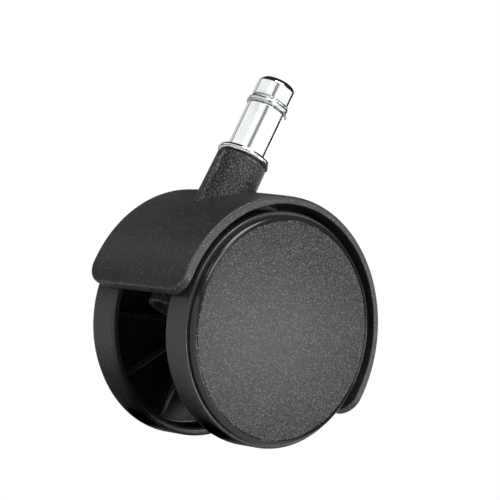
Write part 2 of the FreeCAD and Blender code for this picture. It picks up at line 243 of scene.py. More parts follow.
@dataclass(frozen=True)
class Outline:
    """A cross-section drawn as corners, some of them rounded."""

    corners: tuple[Corner, ...]
    closed: bool = True
    arc_steps: int = 6
    hold: float = 0.06
    end_wear: float = 0.2

    def points(self) -> list[Triple]:
        """The outline's points as (across, along, wear).

        Wear is 0 on a flat, and rises to 1 at a sharp corner and in the middle of a rounding.
        """
        found: list[Triple] = []
        count = len(self.corners)
        for index, corner in enumerate(self.corners):
            here = Vector((corner.across, corner.along))
            at_end = not self.closed and index in (0, count - 1)
            if at_end:
                found.append((*here, 0.0))
                continue
            before = self._towards(index, index - 1)
            after = self._towards(index, (index + 1) % count)
            reach = 0.0
            if corner.rounding > 0:
                reach = corner.rounding / math.tan(before.angle(after) / 2)
            found.append((*(here + before * (reach + self.hold)), 0.0))
            found.extend(self._arc(here, before, after, corner.rounding, reach))
            found.append((*(here + after * (reach + self.hold)), 0.0))
        return found

    def _towards(self, start: int, end: int) -> Vector:
        """The unit direction from one corner to another."""
        first = self.corners[start]
        last = self.corners[end]
        return Vector((last.across - first.across, last.along - first.along)).normalized()

    def _arc(
        self, here: Vector, before: Vector, after: Vector, rounding: float, reach: float
    ) -> Iterator[Triple]:
        """The points of one corner's rounding, or the corner itself where it is sharp."""
        if rounding == 0:
            yield (*here, 1.0)
            return
        start = here + before * reach
        end = here + after * reach
        depth = rounding / math.sin(before.angle(after) / 2)
        centre = here + (before + after).normalized() * depth
        first = start - centre
        turn = first.angle_signed(end - centre)
        for step in range(self.arc_steps + 1):
            share = step / self.arc_steps
            spoke = first.copy()
            spoke.rotate(Matrix.Rotation(-turn * share, 2))
            at_end = step in (0, self.arc_steps)
            wear = self.end_wear if at_end else math.sqrt(math.sin(math.pi * share))
            yield (*(centre + spoke), wear)

    def mesh(self, name: str, place: Callable[[float, float], Vector]) -> Mesh:
        """The outline as a mesh of edges that carries its wear.

        Args:
            name: the mesh's name.
            place: puts an (across, along) pair into space.

        Returns:
            The edge mesh.
        """
        points = self.points()
        edges = [(i, i + 1) for i in range(len(points) - 1)]
        if self.closed:
            edges.append((len(points) - 1, 0))
        mesh = bpy.data.meshes.new(name)
        mesh.from_pydata([place(a, b) for a, b, _ in points], edges, [])
        wear = mesh.attributes.new(WEAR, "FLOAT", "POINT")
        wear.data.foreach_set("value", [w for _, _, w in points])
        return mesh


def point_outwards(mesh: Mesh) -> Mesh:
    """Turns a closed mesh's faces outwards and gives it back."""
    shape = bmesh.new()
    shape.from_mesh(mesh)
    bmesh.ops.remove_doubles(shape, verts=shape.verts, dist=SAME_PLACE)
    bmesh.ops.recalc_face_normals(shape, faces=shape.faces)
    shape.to_mesh(mesh)
    shape.free()
    return mesh


def baked(name: str, shape: bmesh.types.BMesh, materials: Sequence[Material]) -> Mesh:
    """Makes a mesh of a finished BMesh and frees it.

    Args:
        name: the new mesh's name.
        shape: the finished BMesh.
        materials: the mesh's material slots, in order.

    Returns:
        The mesh.
    """
    mesh = bpy.data.meshes.new(name)
    shape.to_mesh(mesh)
    shape.free()
    for material in materials:
        mesh.materials.append(material)
    return mesh


def joined(name: str, parts: Sequence[Mesh]) -> Mesh:
    """Several closed meshes as one, in the first one's finish.

    Args:
        name: the new mesh's name.
        parts: the meshes to gather.

    Returns:
        The gathered mesh.
    """
    shape = bmesh.new()
    for part in parts:
        shape.from_mesh(part)
    return baked(name, shape, parts[0].materials)


def prism(
    name: str,
    outline: Sequence[Vector],
    thickness: Vector,
    material: Material,
    rounding: float = 0.0,
) -> Mesh:
    """A plate with the given outline, its edges softened.

    Args:
        name: the mesh's name.
        outline: the plate's outline on its first face.
        thickness: the way from the first face to the second.
        material: the plate's finish.
        rounding: the width of the softened edges.

    Returns:
        A closed mesh.
    """
    shape = bmesh.new()
    wear = shape.verts.layers.float.new(WEAR)
    face = shape.faces.new([shape.verts.new(p) for p in outline])
    extruded = bmesh.ops.extrude_face_region(shape, geom=[face])
    moved = [v for v in extruded["geom"] if isinstance(v, bmesh.types.BMVert)]
    bmesh.ops.translate(shape, verts=moved, vec=thickness)
    bmesh.ops.recalc_face_normals(shape, faces=shape.faces)
    if rounding > 0:
        sharp = [e for e in shape.edges if e.calc_face_angle(0.0) > math.radians(SHARP_EDGE)]
        bevelled = bmesh.ops.bevel(
            shape, geom=sharp, offset=rounding, segments=BEVEL_STEPS, profile=0.5, affect="EDGES"
        )
        for vert in bevelled["verts"]:
            vert[wear] = 1.0
    for part in shape.faces:
        part.smooth = True
    return baked(name, shape, [material])


# ---- geometry recipes ---------------------------------------------------------------------
class TurnedRecipe(GeometryRecipe):
    """Turns an outline about an axis, as a lathe does."""

    GUIDE = 1.0
    WELD = 1e-4

    def __init__(self) -> None:
        """Builds the tree."""
        super().__init__(
            "turned_piece",
            {
                "Segments": "NodeSocketInt",
                "Guide Radius": "NodeSocketFloat",
                "Weld": "NodeSocketFloat",
            },
        )
        add = self.sheet.add
        line = add("GeometryNodeMeshToCurve", {"Mesh": self.given("Geometry")})
        ring = add(
            "GeometryNodeCurvePrimitiveCircle",
            {"Resolution": self.given("Segments"), "Radius": self.given("Guide Radius")},
        )
        skin = add(
            "GeometryNodeCurveToMesh",
            {"Curve": ring.outputs[0], "Profile Curve": line.outputs[0]},
        )
        welded = add(
            "GeometryNodeMergeByDistance",
            {"Geometry": skin.outputs[0], "Distance": self.given("Weld")},
        )
        self.close(welded.outputs[0])

    def turn(
        self,
        name: str,
        corners: Sequence[Corner],
        material: Material,
        seat: Vector = Vector(),
        tilt: float = 0.0,
        closed: bool = True,
        segments: int = 256,
        arc_steps: int = 6,
    ) -> Mesh:
        """Turns corners (radius, height) about Z, then tilts and seats the piece.

        Args:
            name: the mesh's name.
            corners: the outline, radius first.
            material: the piece's finish.
            seat: where the axis's zero height goes.
            tilt: the turn about X, in radians.
            closed: whether the outline closes on itself, or ends on the axis.
            segments: the number of steps round the axis.
            arc_steps: the number of steps along each rounding.

        Returns:
            A closed mesh.
        """
        outline = Outline(tuple(corners), closed=closed, arc_steps=arc_steps)
        line = outline.mesh(name, lambda radius, height: Vector((radius - self.GUIDE, -height, 0)))
        turned = self.run(
            line,
            Segments=segments,
            Guide_Radius=self.GUIDE,
            Weld=self.WELD,
            Tilt=(tilt, 0.0, 0.0),
            Seat=seat,
            Material=material,
        )
        return point_outwards(turned)


class SplitRingRecipe(GeometryRecipe):
    """Carries a ring's section round an arc that stops short of a full turn."""

    def __init__(self) -> None:
        """Builds the tree."""
        super().__init__(
            "split_ring",
            {
                "Segments": "NodeSocketInt",
                "Radius": "NodeSocketFloat",
                "Opening": "NodeSocketFloat",
            },
        )
        add = self.sheet.add
        line = add("GeometryNodeMeshToCurve", {"Mesh": self.given("Geometry")})
        maths = self.sheet.maths
        arc = add(
            "GeometryNodeCurveArc",
            {
                "Resolution": self.given("Segments"),
                "Radius": self.given("Radius"),
                "Start Angle": maths("DIVIDE", self.given("Opening"), 2.0),
                "Sweep Angle": maths("SUBTRACT", math.tau, self.given("Opening")),
            },
            mode="RADIUS",
        )
        skin = add(
            "GeometryNodeCurveToMesh",
            {"Curve": arc.outputs[0], "Profile Curve": line.outputs[0], "Fill Caps": True},
        )
        self.close(skin.outputs[0])


class SpokeRecipe(GeometryRecipe):
    """Repeats a part round an axis at even steps."""

    def __init__(self) -> None:
        """Builds the tree."""
        super().__init__(
            "spokes",
            {
                "Count": "NodeSocketInt",
                "First Angle": "NodeSocketFloat",
                "Step": "NodeSocketFloat",
            },
        )
        add = self.sheet.add
        maths = self.sheet.maths
        index = add("GeometryNodeInputIndex").outputs[0]
        angle = maths("ADD", self.given("First Angle"), maths("MULTIPLY", index, self.given("Step")))
        turn = add("ShaderNodeCombineXYZ", {"Z": angle})
        places = add("GeometryNodePoints", {"Count": self.given("Count")})
        copies = add(
            "GeometryNodeInstanceOnPoints",
            {
                "Points": places.outputs[0],
                "Instance": self.given("Geometry"),
                "Rotation": turn.outputs[0],
            },
        )
        real = add("GeometryNodeRealizeInstances", {"Geometry": copies.outputs[0]})
        self.close(real.outputs[0])


@dataclass(frozen=True)
class Recipes:
    """The geometry recipes that the sub-assemblies share."""

    turned: TurnedRecipe
    split_ring: SplitRingRecipe
    spokes: SpokeRecipe


# ---- finishes -----------------------------------------------------------------------------
class FinishSheet(NodeSheet):
    """A new material's node tree, with what the finishes share."""

    def __init__(self, name: str) -> None:
        """Args:
            name: the material's name.
        """
        self.material = bpy.data.materials.new(name)
        self.material.use_nodes = True
        super().__init__(self.material.node_tree)
        self.surface = self.tree.nodes["Principled BSDF"]

    def noise(self, size: float, detail: float, squeeze: float = 1.0) -> NodeSocket:
        """Noise on the piece's own coordinates.

        Args:
            size: the size of its features, in millimetres.
            detail: how many finer layers it has.
            squeeze: the scale of X and Y, less than 1 for level lines.

        Returns:
            The noise's socket.
        """
        place = self.add("ShaderNodeTexCoord").outputs["Object"]
        scale = (squeeze, squeeze, 1.0)
        squeezed = self.add("ShaderNodeMapping", {"Vector": place, "Scale": scale}).outputs[0]
        sockets = {"Vector": squeezed, "Scale": 1 / (size * MM), "Detail": detail}
        return self.add("ShaderNodeTexNoise", sockets).outputs[0]

    def spread(self, value: NodeSocket, band: Point, low: float, high: float) -> NodeSocket:
        """Spreads a band of a value from low to high, and holds it there outside the band."""
        sockets = {0: value, 1: band[0], 2: band[1], 3: low, 4: high}
        return self.add("ShaderNodeMapRange", sockets).outputs[0]

    def dress(self, colour: NodeSocket, rough: NodeSocket, height: NodeSocket, relief: float) -> None:
        """Wires the surface.

        Args:
            colour: the base colour.
            rough: the roughness.
            height: the bump's pattern.
            relief: the bump's height, in millimetres.
        """
        bump = self.add("ShaderNodeBump", {"Height": height, "Distance": relief * MM})
        self.tree.links.new(colour, self.surface.inputs["Base Color"])
        self.tree.links.new(rough, self.surface.inputs["Roughness"])
        self.tree.links.new(bump.outputs[0], self.surface.inputs["Normal"])


@dataclass(frozen=True)
class GrainedPlastic:
    """Black moulded plastic with a spark-eroded grain. Lengths are in millimetres.

    The grain, the cloud of its mottling and the bump's relief are lengths. The specks are painted
    glints:
    bright dots in the colour that stand in for light sparkling off the grain. A glint's size is in
    grains, and the other values are shares or strengths.
    """

    name: str
    shade: float
    roughness: float
    grain: float
    relief: float
    contrast: float = 0.3
    # Painted glints: bright specks painted into the colour that stand in for light sparkling off the
    # grain's facets.
    painted_glints: float = 0.0
    glint_size: float = 1.3
    glint_share: float = 0.36
    glint_softness: float = 0.1
    edge_glints: float = 2.0
    unevenness: float = 0.07
    mottle: float = 0.12
    cloud: float = 9.0
    wear: float = 0.25
    wear_polish: float = 0.1
    darkest: float = 0.15
    gloss: float = 0.5

    def material(self) -> Material:
        """Builds the finish: grain in bump and colour, painted glints (bright specks of painted
        highlight), mottling and rubbed edges.
        """
        sheet = FinishSheet(self.name)
        maths = sheet.maths
        grain = sheet.noise(self.grain, detail=2.0)
        cloud = sheet.noise(self.cloud, detail=4.0)
        glint_noise = sheet.noise(self.glint_size * self.grain, detail=0.0)
        wear = sheet.add(
            "ShaderNodeAttribute", attribute_name=WEAR, attribute_type="GEOMETRY"
        ).outputs["Fac"]
        # Rubbed edges lighten the colour where the wear attribute is set; on the hood's rim band that
        # attribute also carries painted light.
        rub = maths("MULTIPLY", wear, sheet.spread(cloud, NARROW_BAND, 0.0, self.wear))
        lift = maths("ADD", sheet.spread(cloud, WIDE_BAND, -self.mottle, self.mottle), 1.0)
        lift = maths("ADD", lift, sheet.spread(grain, NARROW_BAND, -self.contrast, self.contrast))
        lift = maths("ADD", lift, rub)
        # Painted glints: the noise's top share becomes bright specks in the colour, a painted
        # highlight for the grain's sparkle, stronger where the wear attribute is set.
        first = 1 - self.glint_share
        glint_layer = sheet.spread(glint_noise, (first, first + self.glint_softness), 0.0, self.painted_glints)
        edge = maths("MULTIPLY_ADD", wear, self.edge_glints, 1.0)
        lift = maths("ADD", lift, maths("MULTIPLY", glint_layer, edge))
        shade = maths("MULTIPLY", maths("MAXIMUM", lift, self.darkest), self.shade)
        colour = sheet.add("ShaderNodeCombineColor", {0: shade, 1: shade, 2: shade}).outputs[0]
        uneven = sheet.spread(grain, WIDE_BAND, -self.unevenness, self.unevenness)
        rough = maths("ADD", uneven, self.roughness)
        rough = maths("SUBTRACT", rough, maths("MULTIPLY", rub, self.wear_polish))
        sheet.dress(colour, rough, grain, self.relief)
        sheet.surface.inputs["Specular IOR Level"].default_value = self.gloss
        return sheet.material


@dataclass(frozen=True)
class BrightMetal:
    """Plated or polished steel with a faint turning grain. Lengths are in millimetres."""

    name: str
    colour: Triple
    roughness: float
    line_height: float
    relief: float
    line_squeeze: float = 0.08
    cloud: float = 4.0
    smudge: float = 0.05
    dulled: float = 0.93

    def material(self) -> Material:
        """Builds the finish: turning lines in the bump, smudges in the colour and roughness."""
        sheet = FinishSheet(self.name)
        lines = sheet.noise(self.line_height, detail=2.0, squeeze=self.line_squeeze)
        cloud = sheet.noise(self.cloud, detail=5.0)
        smudge = sheet.spread(cloud, WIDE_BAND, -self.smudge, self.smudge)
        rough = sheet.maths("ADD", smudge, self.roughness)
        dull = (self.dulled * c for c in self.colour)
        tint = sheet.add(
            "ShaderNodeMix",
            {"Factor": cloud, 6: (*self.colour, 1.0), 7: (*dull, 1.0)},
            data_type="RGBA",
        )
        sheet.dress(tint.outputs[2], rough, lines, self.relief)
        sheet.surface.inputs["Metallic"].default_value = 1.0
        return sheet.material


# ---- fitting ------------------------------------------------------------------------------
def fit(
    name: str, mesh: Mesh, body: str, slot: Slot, *nodes: str, crease: float = 40.0
) -> Object:
    """Makes a finished piece of a mesh in millimetres and fits it to its body.

    Args:
        name: the piece's name.
        mesh: the piece's closed mesh, in millimetres.
        body: the body that it rides on.
        slot: the record's material slot for its finish; not used.
        nodes: the frame's nodes that it stands for.
        crease: the least angle, in degrees, that still shades as a sharp edge.

    Returns:
        The piece's object.
    """
    mesh.transform(Matrix.Scale(MM, 4))
    mesh.shade_smooth()
    mesh.set_sharp_from_angle(angle=math.radians(crease))
    mesh.name = name
    piece = placed(name, mesh)
    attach(piece, body)
    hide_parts(*nodes)
    log.info("%s on %s: %d faces", name, body, len(mesh.polygons))
    return piece


@dataclass(frozen=True)
class Datum:
    """What the sub-assemblies take from the frame, in millimetres."""

    axle: Vector
    wheel_radius: float
    stem_radius: float
    stem_top: float
    stem_bottom: float
    flange_radius: float
    face_plane: float
    cover_radius: float
    hood_half_width: float

    # How far the closed grip ring of the frame stands out of the stem.
    RING_PROUD = 0.24

    @classmethod
    def from_frame(cls) -> "Datum":
        """Reads the sizes from the nodes' boxes."""
        axle_low, axle_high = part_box("axle")
        tread_low, tread_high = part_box("tread_left")
        stem_low, stem_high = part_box("stem")
        cover_low, cover_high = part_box("cover_right")
        housing_low, housing_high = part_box("housing")
        ring_low, ring_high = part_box("grip_ring")
        return cls(
            axle=(axle_low + axle_high) / 2 / MM,
            wheel_radius=(tread_high.z - tread_low.z) / 2 / MM,
            stem_radius=(ring_high.y - ring_low.y) / 2 / MM - cls.RING_PROUD,
            stem_top=stem_high.z / MM,
            stem_bottom=stem_low.z / MM,
            flange_radius=(stem_high.y - stem_low.y) / 2 / MM,
            face_plane=cover_high.y / MM,
            cover_radius=(cover_high.z - cover_low.z) / 2 / MM,
            hood_half_width=(housing_high.y - housing_low.y) / 2 / MM,
        )


# ---- stem group ---------------------------------------------------------------------------
@dataclass(frozen=True)
class SplitRing:
    """A ring with its opening, in degrees, at the back."""

    name: str
    inner: float
    outer: float
    height: float
    rounding: float
    opening: float
    bottom: float
    hold: float = 0.03
    inner_crispness: float = 3.0
    segments: int = 160

    def mesh(self, recipe: SplitRingRecipe, material: Material) -> Mesh:
        """Builds the ring.

        Args:
            recipe: the recipe that carries its section round.
            material: the ring's finish.

        Returns:
            A closed mesh.
        """
        inner_rounding = self.rounding / self.inner_crispness
        corners = (
            Corner(self.inner, 0, inner_rounding),
            Corner(self.outer, 0, self.rounding),
            Corner(self.outer, self.height, self.rounding),
            Corner(self.inner, self.height, inner_rounding),
        )
        outline = Outline(corners, hold=self.hold)
        line = outline.mesh(self.name, lambda radius, up: Vector((radius - self.inner, -up, 0)))
        ring = recipe.run(
            line,
            Segments=self.segments,
            Radius=self.inner,
            Opening=math.radians(self.opening),
            Seat=(0.0, 0.0, self.bottom),
            Material=material,
        )
        return point_outwards(ring)


@dataclass
class StemSet:
    """The plated pin with its grip ring, retaining clip and thrust washer."""

    datum: Datum
    recipes: Recipes
    body: str = "stem_pin"
    tip_radius: float = 4.45
    tip_height: float = 1.2
    tip_rounding: float = 0.45
    shoulder_rounding: float = 1.1
    groove_bottom: float = 14.2
    groove_top: float = 16.6
    groove_radius: float = 4.75
    groove_rounding: float = 0.3
    flange_thickness: float = 1.7
    flange_rounding: float = 0.75
    shank_radius: float = 4.0
    shank_chamfer: float = 0.5
    grip_ring: SplitRing = SplitRing(
        "grip_ring", inner=5.05, outer=6.05, height=1.65, rounding=0.5, opening=18.0, bottom=14.25
    )
    clip_groove_radius: float = 3.4
    clip_groove_bottom: float = -46.2
    clip_groove_height: float = 1.0
    clip_outer: float = 4.95
    clip_thickness: float = 0.8
    clip_opening: float = 42.0
    clearance: float = 0.1
    washer_radius: float = 6.75
    washer_thickness: float = 0.55
    washer_segments: int = 128

    def build(self) -> None:
        """Builds and fits the four pieces, the grip ring sprung open as it is out of its socket."""
        plated = BrightMetal("plated_steel", (0.83, 0.86, 0.87), 0.12, 0.35, 0.004).material()
        spring = BrightMetal("spring_steel", (0.68, 0.69, 0.70), 0.16, 0.3, 0.006).material()
        washer = GrainedPlastic(
            "washer_plastic", shade=0.02, roughness=0.5, grain=0.3, relief=0.02
        ).material()
        fit("stem_pin", self._pin(plated), self.body, Slot.PLATED, "stem")
        ring = self.grip_ring.mesh(self.recipes.split_ring, spring)
        fit("grip_ring_sprung", ring, self.body, Slot.SPRING, "grip_ring")
        clip = self._clip().mesh(self.recipes.split_ring, spring)
        fit("shank_clip", clip, self.body, Slot.SPRING, "stem_clip")
        fit("swivel_washer", self._washer(washer), "fork", Slot.WASHER, "thrust_washer")

    def _pin(self, material: Material) -> Mesh:
        """The stem, its flange and the shank, turned in one."""
        datum = self.datum
        clip_top = self.clip_groove_bottom + self.clip_groove_height
        corners = [
            Corner(0, datum.stem_bottom),
            Corner(self.shank_radius - self.shank_chamfer, datum.stem_bottom),
            Corner(self.shank_radius, datum.stem_bottom + self.shank_chamfer),
            Corner(self.shank_radius, self.clip_groove_bottom),
            Corner(self.clip_groove_radius, self.clip_groove_bottom),
            Corner(self.clip_groove_radius, clip_top),
            Corner(self.shank_radius, clip_top),
            Corner(self.shank_radius, -self.flange_thickness),
            Corner(datum.flange_radius, -self.flange_thickness, self.flange_rounding),
            Corner(datum.flange_radius, 0, self.flange_rounding),
            Corner(datum.stem_radius, 0, self.groove_rounding),
            Corner(datum.stem_radius, self.groove_bottom, self.groove_rounding),
            Corner(self.groove_radius, self.groove_bottom),
            Corner(self.groove_radius, self.groove_top),
            Corner(datum.stem_radius, self.groove_top, self.groove_rounding),
            Corner(datum.stem_radius, datum.stem_top - self.tip_height, self.shoulder_rounding),
            Corner(self.tip_radius, datum.stem_top, self.tip_rounding),
            Corner(0, datum.stem_top),
        ]
        return self.recipes.turned.turn("stem_pin", corners, material, closed=False, arc_steps=8)

    def _clip(self) -> SplitRing:
        """The open clip in the shank's lower groove."""
        return SplitRing(
            "stem_clip",
            inner=self.clip_groove_radius,
            outer=self.clip_outer,
            height=self.clip_thickness,
            rounding=self.clearance,
            opening=self.clip_opening,
            bottom=self.clip_groove_bottom + self.clearance,
        )

    def _washer(self, material: Material) -> Mesh:
        """The thin washer under the flange."""
        top = -self.flange_thickness - self.clearance
        bottom = top - self.washer_thickness
        inner = self.shank_radius + self.clearance
        corners = [
            Corner(inner, bottom),
            Corner(self.washer_radius, bottom, self.clearance),
            Corner(self.washer_radius, top, self.clearance),
            Corner(inner, top),
        ]
        return self.recipes.turned.turn(
            "thrust_washer", corners, material, segments=self.washer_segments
        )


# ---- housing ------------------------------------------------------------------------------
@dataclass(frozen=True)
class RimLoop:
    """A loop of the hood's rim: its inset, its depth from the nearer face, and its wear, which on the
    rim's flat band is partly rubbed wear and partly painted light.
    """

    inset: float
    depth: float
    from_inside: bool
    wear: float


@dataclass
class Hood:
    """The crowned arch over both wheels: a wall between two circles that aren't quite concentric."""

    datum: Datum
    radius: float = 36.6
    crown: float = 0.4
    inner_radius: float = 34.1
    outer_shift: Point = (0.2, -0.4)
    inner_shift: Point = (0.55, 0.2)
    skirt: float = 7.5
    corner_radius: float = 5.5
    outer_rounding: float = 0.6
    inner_rounding: float = 0.3
    # Partly rubbed wear and partly painted light: lightens the rim's flat band and its painted glints
    # as if lit.
    rim_wear_and_light: float = 0.6
    hold: float = 0.08
    columns: int = 48
    corner_rows: int = 14
    arch_rows: int = 120
    edge_steps: int = 6

    def __post_init__(self) -> None:
        """Works out where both circles are cut off level."""
        axle = self.datum.axle
        self.lower = axle.z - self.skirt
        self.outer_centre = (axle.x + self.outer_shift[0], axle.z + self.outer_shift[1])
        self.inner_centre = (axle.x + self.inner_shift[0], axle.z + self.inner_shift[1])
        self.outer_dip = math.asin((self.lower - self.outer_centre[1]) / self.radius)
        self.inner_dip = math.asin((self.lower - self.inner_centre[1]) / self.inner_radius)
        self.length = self.radius * (math.pi - 2 * self.outer_dip)

    def surface(self, along: float, across: float, share: float) -> Vector:
        """A point of the hood.

        Args:
            along: the way round the arch from its front lower edge, on the outer face.
            across: the distance from the middle plane, along the axle.
            share: 0 on the outer face, 1 on the inner face.

        Returns:
            The point.
        """
        part = along / self.length
        outer = self._on_circle(self.outer_centre, self._crowned(across), self.outer_dip, part)
        inner = self._on_circle(self.inner_centre, self.inner_radius, self.inner_dip, part)
        place = outer.lerp(inner, share)
        return Vector((place.x, across, place.y))

    def _crowned(self, across: float) -> float:
        """The outer radius at a distance from the middle plane."""
        return self.radius + self.crown * (1 - (across / self.datum.hood_half_width) ** 2)

    @staticmethod
    def _on_circle(centre: Point, radius: float, dip: float, part: float) -> Vector:
        """The point a part of the way round a circle's arc, whose ends lie at the dip's angle."""
        start = math.pi - dip
        angle = start + (dip - start) * part
        return Vector((centre[0] + radius * math.cos(angle), centre[1] + radius * math.sin(angle)))

    def wall(self, along: float, across: float) -> float:
        """The hood's thickness at a place."""
        return (self.surface(along, across, 0) - self.surface(along, across, 1)).length

    def _rows(self, inset: float) -> list[tuple[float, float]]:
        """The grid's rows inside the rim as (along, half width), from the front end to the rear."""
        radius = self.corner_radius - inset
        straight = self.datum.hood_half_width - self.corner_radius
        ends = []
        for step in range(self.corner_rows + 1):
            angle = math.pi / 2 * step / self.corner_rows
            ends.append((inset + radius * (1 - math.cos(angle)), straight + radius * math.sin(angle)))
        first = self.corner_radius
        span = self.length - 2 * first
        full = self.datum.hood_half_width - inset
        arch = [
            (first + span * step / self.arch_rows, full) for step in range(1, self.arch_rows)
        ]
        rear = [(self.length - along, half) for along, half in reversed(ends)]
        return ends + arch + rear

    def _grid(self, inset: float) -> list[list[tuple[float, float]]]:
        """The grid's places as (along, across), row by row."""
        return [
            [(along, half * (2 * column / self.columns - 1)) for column in range(self.columns + 1)]
            for along, half in self._rows(inset)
        ]

    @staticmethod
    def _border(rows: Sequence[Sequence]) -> list:
        """The grid's border, in order round it."""
        last = len(rows[0]) - 1
        right = [row[last] for row in rows[1:-1]]
        left = [row[0] for row in reversed(rows[1:-1])]
        return list(rows[0]) + right + list(reversed(rows[-1])) + left

    def _loops(self) -> Iterator[RimLoop]:
        """The rim's loops, from the outer face round to the inner one."""
        for step in range(self.edge_steps + 1):
            angle = math.pi / 2 * step / self.edge_steps
            inset = self.outer_rounding * (1 - math.sin(angle))
            depth = self.outer_rounding * (1 - math.cos(angle))
            yield RimLoop(inset, depth, False, math.sin(2 * angle))
        # The rim's flat band: its wear value is partly rubbed wear and partly painted light,
        # lightening the band's colour and glints as if lit.
        yield RimLoop(0.0, self.outer_rounding + self.hold, False, self.rim_wear_and_light)
        yield RimLoop(0.0, self.inner_rounding + self.hold, True, self.rim_wear_and_light)
        for step in range(self.edge_steps + 1):
            angle = math.pi / 2 * step / self.edge_steps
            inset = self.inner_rounding * (1 - math.cos(angle))
            depth = self.inner_rounding * (1 - math.sin(angle))
            yield RimLoop(inset, depth, True, math.sin(2 * angle))

    def mesh(self, material: Material) -> Mesh:
        """Builds the hood.

        Args:
            material: the hood's finish.

        Returns:
            A closed mesh.
        """
        shape = bmesh.new()
        wear = shape.verts.layers.float.new(WEAR)
        outer = self._sheet(shape, self.outer_rounding + self.hold, 0.0)
        inner = self._sheet(shape, self.inner_rounding + self.hold, 1.0)
        previous = self._border(outer)
        for loop in self._loops():
            ring = []
            for along, across in self._border(self._grid(loop.inset)):
                share = loop.depth / self.wall(along, across)
                place = self.surface(along, across, 1 - share if loop.from_inside else share)
                vert = shape.verts.new(place)
                vert[wear] = loop.wear
                ring.append(vert)
            self._strip(shape, previous, ring)
            previous = ring
        self._strip(shape, previous, self._border(inner))
        bmesh.ops.recalc_face_normals(shape, faces=shape.faces)
        return baked("hood", shape, [material])

    def _sheet(
        self, shape: bmesh.types.BMesh, inset: float, share: float
    ) -> list[list[bmesh.types.BMVert]]:
        """One face of the hood inside its rim.

        Args:
            shape: the mesh under construction.
            inset: how far the face stops short of the rim.
            share: 0 for the outer face, 1 for the inner face.

        Returns:
            The face's vertices, row by row.
        """
        rows = [
            [shape.verts.new(self.surface(along, across, share)) for along, across in row]
            for row in self._grid(inset)
        ]
        for near, far in zip(rows, rows[1:]):
            for column in range(self.columns):
                shape.faces.new((near[column], near[column + 1], far[column + 1], far[column]))
        return rows

    @staticmethod
    def _strip(
        shape: bmesh.types.BMesh,
        first: Sequence[bmesh.types.BMVert],
        second: Sequence[bmesh.types.BMVert],
    ) -> None:
        """Joins two closed loops of equal length with faces."""
        count = len(first)
        for i in range(count):
            j = (i + 1) % count
            shape.faces.new((first[i], first[j], second[j], second[i]))


